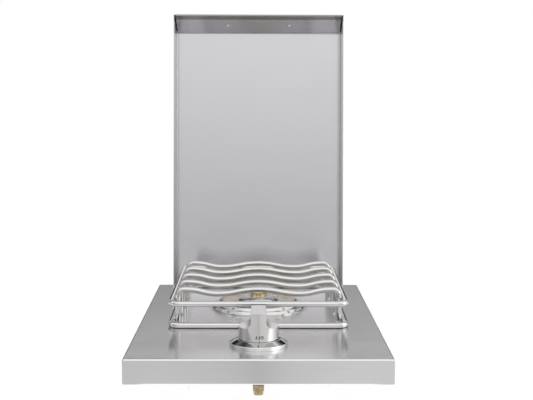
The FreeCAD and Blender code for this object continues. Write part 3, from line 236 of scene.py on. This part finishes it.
def brushed_steel(name, color, roughness, spread, hem_painted_shade=None):
    """Sheet steel brushed along X, where a reflection is drawn out across the grain, with painted shade on
    the lid's folded hem if a hem shade is given.
    """
    material, t = new_material(name)
    x, y, z = t.split(t.object_place())
    on_side = t.math("GREATER_THAN", t.math("ABSOLUTE", t.split(t.object_normal())[0]), 0.7)
    along = t.mix(on_side, x, z)
    across = t.mix(on_side, z, 0.0)

    def streaks(along_scale, across_scale, detail):
        stretched = t.join(
            t.product(along, along_scale), t.product(y, across_scale), t.product(across, across_scale))
        return t.noise(stretched, 1.0, detail)

    fine = streaks(14.0, 1500.0, 2.0)
    middle = streaks(9.0, 330.0, 3.0)
    broad = streaks(3.0, 26.0, 2.0)
    wiped = t.noise(t.object_place(), 11.0, 4.0, 0.6)
    grain = t.total(t.product(fine, 0.35), t.product(middle, 0.4), t.product(broad, 0.25))
    base = rgba(*color)
    # Painted shade: the folded hem gets a darker colour, standing in for its darker reflection.
    if hem_painted_shade:
        base = t.mix_color(on_folded_hem(t, y, z), base, rgba(*hem_painted_shade))
    gloss = t.total(t.vary(grain, roughness - 0.02, roughness + 0.02), t.map(wiped, 0.35, 0.7, -0.01, 0.02))
    normal = t.node("ShaderNodeNewGeometry").outputs["Normal"]
    tangent = t.vector("CROSS_PRODUCT", normal, (1, 0, 0))
    side_tangent = t.vector("CROSS_PRODUCT", normal, (0, 0, 1))
    finish_material(t, t.toned(base, t.vary(grain, 1.0 - spread, 1.0 + spread)), gloss, {
        "Metallic": 1.0, "Anisotropic": 0.85, "Tangent": t.mix_vector(on_side, tangent, side_tangent),
        "Normal": t.bump(t.total(fine, middle), 0.02)})
    return material


def plated_metal(name, color, roughness, spread, grain=(900.0, 900.0, 900.0), bump=0.02, haze_low=0.75,
                 haze_high=1.3, collar_painted_shade=None):
    """Plated, drawn or turned metal with fine lines and a thin haze, and painted shade on the sloped collar
    if given.
    """
    material, t = new_material(name)
    place = t.object_place()
    haze = t.noise(place, 45.0, 4.0, 0.6)
    lines = t.noise(t.vector("MULTIPLY", place, grain), 1.0, 2.0)
    tone = t.vary(t.total(t.product(haze, 0.6), t.product(lines, 0.4)), 1.0 - spread, 1.0 + spread)
    base = rgba(*color)
    # Painted shade: the sloped collar gets a darker colour.
    if collar_painted_shade:
        slope = t.split(t.object_normal())[2]
        on_collar = t.product(t.rise(slope, 0.72, 0.8, smooth=False), t.map(slope, 0.95, 0.98, 1.0, 0.0))
        base = t.mix_color(on_collar, base, rgba(*collar_painted_shade))
    gloss = t.vary(haze, roughness * haze_low, roughness * haze_high)
    finish_material(t, t.toned(base, tone), gloss, {"Metallic": 1.0, "Normal": t.bump(lines, bump)})
    return material


def rod_with_painted_light(name, color, side_highlight_color, underside_shade_color, roughness):
    """Plated round bar, with a painted highlight on the side bars and brown painted shade on the undersides
    near the burner.
    """
    material, t = new_material(name)
    place = t.object_place()
    x, y, z = t.split(place)
    off_middle = t.math("ABSOLUTE", x)
    haze = t.noise(place, 60.0, 4.0, 0.6)
    drawn = t.noise(t.vector("MULTIPLY", place, (70.0, 900.0, 900.0)), 1.0, 2.0)
    # Painted shade: undersides near the burner are darkened brown, except on the lowest frame and near the
    # side bars.
    low_side = t.rise(t.split(t.object_normal())[2], 0.3, -0.35)
    near_flame = t.rise(from_burner(t, x, y), underside_shade_reach, underside_shade_full_reach)
    above_deck = t.rise(z, underside_shade_bottom, underside_shade_full_bottom)
    off_side = t.rise(off_middle, underside_shade_end_x, underside_shade_full_x)
    underside_shade = t.product(low_side, near_flame, above_deck, off_side, t.vary(haze, 0.7, 1.0))
    # Painted highlight: the side bars get a lighter colour.
    side_bar = t.rise(off_middle, side_bar_x, side_bar_full_x, smooth=False)
    plated_with_side_highlight = t.mix_color(side_bar, rgba(*color), rgba(*side_highlight_color))
    shade = t.mix_color(underside_shade, plated_with_side_highlight, rgba(*underside_shade_color))
    tone = t.vary(t.total(t.product(haze, 0.5), t.product(drawn, 0.5)), 0.97, 1.03)
    gloss = t.total(t.vary(haze, roughness * 0.8, roughness * 1.2), t.product(underside_shade, 0.08))
    finish_material(t, t.toned(shade, tone), gloss, {"Metallic": 1.0, "Normal": t.bump(drawn, 0.02)})
    return material


def turned_brass(name, color, tarnish, roughness, top=None):
    """Machined brass with brown tarnish in patches. Where its top is given, a dark band below it is painted
    shade for the flame ports.
    """
    material, t = new_material(name)
    place = t.object_place()
    patches = t.rise(t.noise(place, 120.0, 5.0, 0.6), 0.42, 0.7)
    rings = t.noise(t.vector("MULTIPLY", place, (60.0, 60.0, 2600.0)), 1.0, 2.0)
    tint = t.mix_color(t.product(patches, 0.6), rgba(*color), rgba(*tarnish))
    # Painted shade: a dark band round the head's port wall at the height of the flame ports.
    if top:
        x, y, z = t.split(place)
        inside = t.rise(from_burner(t, x, y), port_reach, port_reach - 0.0002, smooth=False)
        above = t.math("GREATER_THAN", z, top - port_bottom_below_top)
        below = t.math("LESS_THAN", z, top - port_top_below_top)
        tint = t.mix_color(t.product(inside, above, below), tint, rgba(*port_painted_shade))
    gloss = t.total(t.vary(rings, roughness - 0.05, roughness + 0.05), t.product(patches, 0.12))
    finish_material(t, t.toned(tint, t.vary(rings, 0.93, 1.07)), gloss, {
        "Metallic": 1.0, "Normal": t.bump(rings, 0.05)})
    return material


def cast_metal(name, color, roughness):
    """Sand-cast iron: a dull grey skin with a grainy relief."""
    material, t = new_material(name)
    place = t.object_place()
    grains = t.noise(place, 900.0, 4.0, 0.65)
    blotches = t.noise(place, 60.0, 4.0, 0.6)
    gloss = t.vary(grains, roughness - 0.08, roughness + 0.08)
    finish_material(t, t.toned(rgba(*color), t.vary(blotches, 0.75, 1.25)), gloss, {
        "Metallic": 0.75, "Normal": t.bump(t.total(grains, blotches), 0.5, 0.0004)})
    return material


def glazed_ceramic(name, color):
    """White spark insulator, glossy, with faint brown soot."""
    material, t = new_material(name)
    place = t.object_place()
    most_soot = 0.35
    soot = t.map(t.noise(place, 260.0, 4.0, 0.6), 0.55, 0.8, 0.0, most_soot)
    gloss = t.map(soot, 0.0, most_soot, 0.12, 0.4)
    finish_material(t, t.mix_color(soot, rgba(*color), rgba(*insulator_soot)), gloss, {
        "Normal": t.bump(t.noise(place, 700.0, 2.0), 0.05)})
    return material


def moulded_plastic(name, color):
    """Matt black moulded nylon with a fine spark-eroded texture."""
    material, t = new_material(name)
    place = t.object_place()
    grains = t.noise(place, 2200.0, 2.0, 0.5)
    dust = t.noise(place, 90.0, 4.0, 0.6)
    finish_material(t, t.toned(rgba(*color), t.vary(dust, 0.85, 1.25)), t.vary(grains, 0.42, 0.58), {
        "Normal": t.bump(grains, 0.25)})
    return material


def black_print_and_shadow(name):
    """Pad-printed black paint, slightly uneven and thin at places, also used for the painted shadow in the
    lid's corners.
    """
    material, t = new_material(name)
    specks = t.noise(t.object_place(), 2600.0, 3.0, 0.6)
    shade = t.toned(rgba(*print_and_shadow_black), t.map(specks, 0.35, 0.7, 0.6, 1.6))
    finish_material(t, shade, t.vary(specks, 0.35, 0.5), {"Normal": t.bump(specks, 0.1, 0.0001)})
    return material


satin = {"bump": 0.015, "haze_low": 0.85, "haze_high": 1.15}
looks = {
    "deck_steel": brushed_steel("deck_steel_look", (0.69, 0.683, 0.692), 0.18, 0.03),
    # The lid's last colour is painted shade on its folded hem.
    "lid_steel": brushed_steel("lid_steel_look", (0.617, 0.61, 0.628), 0.16, 0.015, (0.33, 0.32, 0.305)),
    "box_steel": brushed_steel("box_steel_look", (0.8, 0.8, 0.8), 0.32, 0.04),
    "plinth_steel": plated_metal("plinth_steel_look", (0.64, 0.64, 0.64), 0.14, 0.03),
    "dish_steel": plated_metal("dish_steel_look", (0.64, 0.64, 0.65), 0.16, 0.03),
    "tube_steel": plated_metal("tube_steel_look", (0.55, 0.55, 0.54), 0.4, 0.1),
    "fastener_steel": plated_metal("fastener_steel_look", (0.66, 0.66, 0.66), 0.16, 0.04),
    # Rods: plated colour, painted highlight on the side bars, brown painted shade underneath.
    "rod_chrome": rod_with_painted_light(
        "rod_chrome_look", (0.62, 0.617, 0.61), (0.82, 0.817, 0.81), (0.33, 0.295, 0.265), 0.1),
    "knob_chrome": plated_metal(
        "knob_chrome_look", (0.67, 0.66, 0.65), 0.14, 0.03, (900.0, 900.0, 60.0), **satin),
    # Bezel: the collar colour is painted shade.
    "bezel_chrome": plated_metal(
        "bezel_chrome_look", (0.8, 0.8, 0.795), 0.06, 0.02, (40.0, 40.0, 1800.0),
        collar_painted_shade=(0.45, 0.45, 0.445), **satin),
    "flame_brass": turned_brass("flame_brass_look", (0.64, 0.56, 0.44), (0.36, 0.26, 0.13), 0.2),
    "valve_brass": turned_brass("valve_brass_look", (0.3, 0.25, 0.15), (0.18, 0.135, 0.07), 0.28),
    "casting_iron": cast_metal("casting_iron_look", (0.16, 0.155, 0.15), 0.6),
    "ceramic_white": glazed_ceramic("ceramic_white_look", (0.85, 0.84, 0.8)),
    "module_plastic": moulded_plastic("module_plastic_look", (0.025, 0.025, 0.027)),
}
for part in frame["record"]["subparts"]:
    for slot in nodes[part["node"]].material_slots:
        slot.material = looks[part["material_slot"]]
head_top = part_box("burner_head")[1][2]
# The burner head's brass carries the painted shade of its flame ports.
for slot in nodes["burner_head"].material_slots:
    slot.material = turned_brass("polished_brass_look", (0.86, 0.73, 0.46), (0.45, 0.33, 0.1), 0.12, head_top)
print_and_shadow_paint = black_print_and_shadow("black_print_and_shadow_look")


# Black pieces, in millimetres: the printed marks, and painted shadow in the lid's corners, black beads where
# the corner creases are in shade

knob_axis_y = -169.6
barrel_radius = 25.9
cone_low_radius = 37.0
cone_low_height = 36.35
cone_high_radius = 28.9
cone_high_height = 40.75
paint_height = 0.06
paint_sunk = 0.03
stroke = 0.85
stroke_step = 0.3
ring_steps = 36
letters_low = 44.8
letters_high = 49.0
f_width = 2.3
f_bar_share = 0.46
f_bar_inset = 0.35
first_f_middle = -3.13
second_f_middle = 0.66
o_middle = 4.57
o_half_width = 1.85
pointer_left = 0.16
pointer_right = 1.16
pointer_low = 40.6
pointer_high = 42.5
index_left = -0.67
index_right = 0.33
index_low = 31.8
index_high = 36.1
# The lid's corners: black beads of painted shadow where the corner creases are in shade
corner_shadow_x = 141.8
corner_shadow_lip_y = 312.3
corner_shadow_lip_z = 481.65
corner_shadow_fold_y = 360.6
corner_shadow_fold_z = 456.75
corner_shadow_half_width = 0.98
corner_shadow_half_height = 0.42
corner_shadow_rows = 64
corner_shadow_sides = 8
corner_shadow_seed = 7
corner_shadow_swell = 0.08
corner_shadow_wave = 1.9
corner_shadow_jitter = 0.04


def black_piece(name, body, shape):
    """Makes a black piece, a print or a painted shadow, from a bmesh, and lets it ride on a body."""
    bmesh.ops.recalc_face_normals(shape, faces=shape.faces)
    mesh = bpy.data.meshes.new(name)
    shape.to_mesh(mesh)
    shape.free()
    mesh.materials.append(print_and_shadow_paint)
    piece = bpy.data.objects.new(name, mesh)
    bpy.context.scene.collection.objects.link(piece)
    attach(piece, body)


def on_barrel(u, v, out):
    """Point on the knob's round front: u along it from its middle, v its height, out from it."""
    angle = u / barrel_radius
    radius = barrel_radius + out
    return Vector((radius * math.sin(angle), knob_axis_y - radius * math.cos(angle), v)) / 1000


def on_cone(u, v, out):
    """Point on the bezel's sloped collar: u along it, v its distance from the knob's axis, out from it."""
    run = cone_low_radius - cone_high_radius
    rise = cone_high_height - cone_low_height
    length = math.hypot(run, rise)
    radius = v + out * rise / length
    height = cone_low_height + (cone_low_radius - v) * rise / run + out * run / length
    angle = u / v
    return Vector((radius * math.sin(angle), knob_axis_y - radius * math.cos(angle), height)) / 1000


def bar(low_u, high_u, low_v, high_v):
    """A straight stroke, as a strip of quads."""
    count = max(2, round((high_u - low_u) / stroke_step))
    us = [low_u + (high_u - low_u) * index / count for index in range(count + 1)]
    return [[(a, low_v), (b, low_v), (b, high_v), (a, high_v)] for a, b in zip(us, us[1:])]


def ring(middle_u, middle_v, half_u, half_v):
    """A round stroke, as a ring of quads."""
    turns = [2 * math.pi * index / ring_steps for index in range(ring_steps + 1)]
    quads = []
    for a, b in zip(turns, turns[1:]):
        corners = []
        for turn, inset in ((a, 0.0), (b, 0.0), (b, stroke), (a, stroke)):
            u = middle_u + (half_u - inset) * math.cos(turn)
            v = middle_v + (half_v - inset) * math.sin(turn)
            corners.append((u, v))
        quads.append(corners)
    return quads


def turned_f(middle_u, low, high):
    """A letter F turned half round, as the knob shows it from the front."""
    right = middle_u + f_width / 2
    left = middle_u - f_width / 2
    middle = low + (high - low) * f_bar_share
    quads = bar(right - stroke, right, low, high)
    quads += bar(left, right - stroke, low, low + stroke)
    quads += bar(left + f_bar_inset, right - stroke, middle, middle + stroke)
    return quads


def printed_mark(name, body, quads, surface):
    """A thin raised layer of paint in the given outline, laid on a curved surface."""
    shape = bmesh.new()
    for corners in quads:
        shape.faces.new([shape.verts.new((u, v, 0.0)) for u, v in corners])
    bmesh.ops.remove_doubles(shape, verts=shape.verts, dist=0.001)
    grown = bmesh.ops.extrude_face_region(shape, geom=list(shape.faces))
    for item in grown["geom"]:
        if isinstance(item, bmesh.types.BMVert):
            item.co.z = 1.0
    for vertex in shape.verts:
        out = paint_height if vertex.co.z > 0.5 else -paint_sunk
        vertex.co = surface(vertex.co.x, vertex.co.y, out)
    black_piece(name, body, shape)


def corner_painted_shadow(name, side):
    """Painted shadow in the lid's corner slot: a black, slightly uneven bead from the lip to the fold, where
    the corner crease is in shade.
    """
    lip = Vector((side * corner_shadow_x, corner_shadow_lip_y, corner_shadow_lip_z))
    fold = Vector((side * corner_shadow_x, corner_shadow_fold_y, corner_shadow_fold_z))
    along = (fold - lip).normalized()
    out = Vector((0.0, along.z, -along.y))
    across = Vector((1.0, 0.0, 0.0))
    rng = random.Random(corner_shadow_seed + side)
    shape = bmesh.new()
    loops = []
    for row in range(corner_shadow_rows + 1):
        middle = lip.lerp(fold, row / corner_shadow_rows)
        swell = 1.0 + corner_shadow_swell * math.sin(row * corner_shadow_wave) + rng.uniform(-corner_shadow_jitter, corner_shadow_jitter)
        loop = []
        for step in range(corner_shadow_sides):
            turn = 2 * math.pi * step / corner_shadow_sides
            aside = across * (corner_shadow_half_width * math.cos(turn))
            upward = out * (corner_shadow_half_height * swell * math.sin(turn))
            loop.append(shape.verts.new((middle + aside + upward) / 1000))
        loops.append(loop)
    for a, b in zip(loops, loops[1:]):
        for step in range(corner_shadow_sides):
            after = (step + 1) % corner_shadow_sides
            shape.faces.new([a[step], a[after], b[after], b[step]])
    shape.faces.new(loops[0])
    shape.faces.new(list(reversed(loops[-1])))
    for face in shape.faces:
        face.smooth = True
    black_piece(name, "lid", shape)


# Painted shadow in both of the lid's corners
corner_painted_shadow("lid_corner_painted_shadow_left", -1)
corner_painted_shadow("lid_corner_painted_shadow_right", 1)
off_word = turned_f(first_f_middle, letters_low, letters_high)
off_word += turned_f(second_f_middle, letters_low, letters_high)
off_word += ring(o_middle, (letters_low + letters_high) / 2, o_half_width, (letters_high - letters_low) / 2)
printed_mark("knob_off_mark", "knob", off_word, on_barrel)
printed_mark("knob_pointer", "knob", bar(pointer_left, pointer_right, pointer_low, pointer_high), on_barrel)
printed_mark("bezel_index_line", "housing", bar(index_left, index_right, index_low, index_high), on_cone)


# Studio: white to the camera, with soft panels in front, above and to the right for the metal to mirror

def by_height(t, height, stops):
    """Brightness by height, from (degrees above the horizon, brightness) stops."""
    return t.ramp(height, [((degrees + 90.0) / 180.0, light) for degrees, light in stops])


def by_bearing(t, bearing, stops):
    """Brightness by bearing, from (degrees round from the front, brightness) stops."""
    return t.ramp(bearing, [((degrees + 180.0) / 360.0, light) for degrees, light in stops])


def studio_world():
    world = bpy.data.worlds.new("studio")
    bpy.context.scene.world = world
    world.use_nodes = True
    world.node_tree.nodes.clear()
    t = Tree(world.node_tree)
    x, y, z = t.split(t.vector("NORMALIZE", t.node("ShaderNodeTexCoord").outputs["Generated"]))
    height = t.total(t.math("DIVIDE", t.math("ARCSINE", z), math.pi), 0.5)
    bearing = t.total(t.math("DIVIDE", t.math("ARCTAN2", x, t.product(y, -1.0)), 2 * math.pi), 0.5)
    off_front = t.math("ABSOLUTE", t.math("SUBTRACT", bearing, 0.5))
    front = by_height(t, height, [
        (-90, 0.5), (0, 0.6), (3, 0.67), (6, 0.78), (9, 0.95), (14, 1.08), (22, 1.15), (34, 1.2), (46, 1.28),
        (60, 1.38), (70, 1.36), (79, 1.08), (90, 1.0)])
    back_left = by_height(t, height, [
        (-90, 0.05), (7, 0.02), (10.5, 0.06), (13, 0.42), (16, 1.24), (18.5, 1.26), (21.5, 0.15), (24, 0.03),
        (33, 0.03), (41, 0.28), (47, 0.14), (54, 0.06), (62, 0.26), (72, 0.6), (80, 0.95), (90, 1.0)])
    back_right = by_height(t, height, [
        (-90, 0.05), (7, 0.02), (10.5, 0.08), (13, 0.46), (16, 1.3), (18.5, 1.32), (21.5, 0.15), (24, 0.03),
        (33, 0.05), (40, 0.4), (48, 1.35), (54, 0.76), (72, 0.7), (80, 0.95), (90, 1.0)])
    around = by_bearing(t, bearing, [
        (-180, 0.1), (-155, 0.1), (-127, 0.3), (-90, 0.62), (-61, 0.46), (-35, 0.88), (0, 1.0), (30, 1.0),
        (47, 1.1), (56, 1.6), (68, 2.3), (97, 1.3), (140, 0.45), (158, 0.08), (180, 0.08)])
    back = t.mix(t.rise(x, -0.2, 0.2), back_left, back_right)
    sides = t.mix(t.rise(z, 0.36, 0.46), around, t.math("MINIMUM", around, 0.96))
    turned = t.product(front, t.mix(t.rise(z, 0.85, 0.5), 1.0, sides))
    ahead = t.rise(off_front, 0.035, 0.022)
    raised = t.product(t.rise(z, 0.37, 0.41), t.rise(z, 0.62, 0.54, smooth=False))
    turned = t.total(turned, t.product(ahead, raised, 0.48))
    behind = t.product(t.rise(off_front, 0.34, 0.4), t.rise(z, 0.99, 0.9))
    strength = t.mix(t.camera_ray(), t.mix(behind, turned, back), 1.0)
    sky = t.node("ShaderNodeBackground", inputs={"Color": rgba(1.0, 1.0, 1.0), "Strength": strength})
    t.node("ShaderNodeOutputWorld", inputs={"Surface": sky.outputs[0]})


def studio_floor(height):
    mesh = bpy.data.meshes.new("floor")
    far = 9.0
    corners = [(-far, -far, height), (far, -far, height), (far, far, height), (-far, far, height)]
    mesh.from_pydata(corners, [], [(0, 1, 2, 3)])
    floor = bpy.data.objects.new("floor", mesh)
    bpy.context.scene.collection.objects.link(floor)
    material, t = new_material("floor_look")
    paper = t.noise(t.object_place(), 4.0, 3.0)
    x, y = t.split(t.object_place())[:2]
    near = t.ramp(t.rise(x, -0.25, 0.25, smooth=False), [
        (0.0, 0.7), (0.25, 0.7), (0.4, 0.665), (0.46, 0.63), (0.5, 0.565), (0.54, 0.64), (0.6, 0.71),
        (0.75, 0.78), (1.0, 0.8)])
    ahead = t.mix(t.rise(y, -0.8, -1.6), near, 0.45)
    base = t.mix(t.rise(y, 0.3, 1.2), ahead, t.map(y, 1.0, 1.7, 0.1, 0.5, smooth=True))
    below_front = t.product(t.rise(y, -0.33, -0.27), t.rise(y, -0.1, -0.13, smooth=False))
    below_middle = t.rise(t.math("ABSOLUTE", x), 0.16, 0.14)
    lit = t.mix(t.product(below_front, below_middle), base, 1.5)
    glow = t.product(t.mix(t.camera_ray(), lit, 0.97), t.vary(paper, 0.99, 1.01))
    finish_material(t, rgba(*floor_grey), 1.0, {
        "Specular IOR Level": 0.0, "Emission Color": rgba(1.0, 1.0, 1.0), "Emission Strength": glow})
    mesh.materials.append(material)


def soft_light(name, place, aim, width, height, power):
    data = bpy.data.lights.new(name, "AREA")
    data.shape = "RECTANGLE"
    data.size = width
    data.size_y = height
    data.energy = power
    lamp = bpy.data.objects.new(name, data)
    lamp.visible_glossy = False
    lamp.location = place
    lamp.rotation_euler = (Vector(aim) - Vector(place)).to_track_quat("-Z", "Y").to_euler()
    bpy.context.scene.collection.objects.link(lamp)


def studio_camera(place, down, right_turn, tilt):
    """A camera that looks towards +Y, down, turned to the right and tilted by the given degrees."""
    data = bpy.data.cameras.new("camera")
    data.lens = 69.268
    data.sensor_fit = "HORIZONTAL"
    data.sensor_width = 36.0
    camera = bpy.data.objects.new("camera", data)
    pitch = math.radians(down)
    yaw = math.radians(right_turn)
    roll = math.radians(tilt)
    forward = Vector((math.sin(yaw) * math.cos(pitch), math.cos(yaw) * math.cos(pitch), -math.sin(pitch)))
    right = Vector((math.cos(yaw), -math.sin(yaw), 0.0))
    up = right.cross(forward)
    tilted_right = math.cos(roll) * right + math.sin(roll) * up
    tilted_up = -math.sin(roll) * right + math.cos(roll) * up
    turn = Matrix((tilted_right, tilted_up, -forward)).transposed()
    camera.matrix_world = Matrix.Translation(place) @ turn.to_4x4()
    bpy.context.scene.collection.objects.link(camera)
    bpy.context.scene.camera = camera


studio_world()
studio_floor(-0.0467)
soft_light("top_light", (0.0, -0.2, 2.0), (0.0, 0.0, 0.0), 1.4, 1.4, 3.0)
soft_light("front_light", (0.0, -2.6, 2.2), (0.0, 0.0, 0.1), 1.6, 0.8, 1.0)
studio_camera((-0.002656, -1.4506, 0.35203), 6.0078, 0.5469, 0.1707)

scene = bpy.context.scene
scene.view_settings.view_transform = "Standard"
scene.view_settings.look = "None"
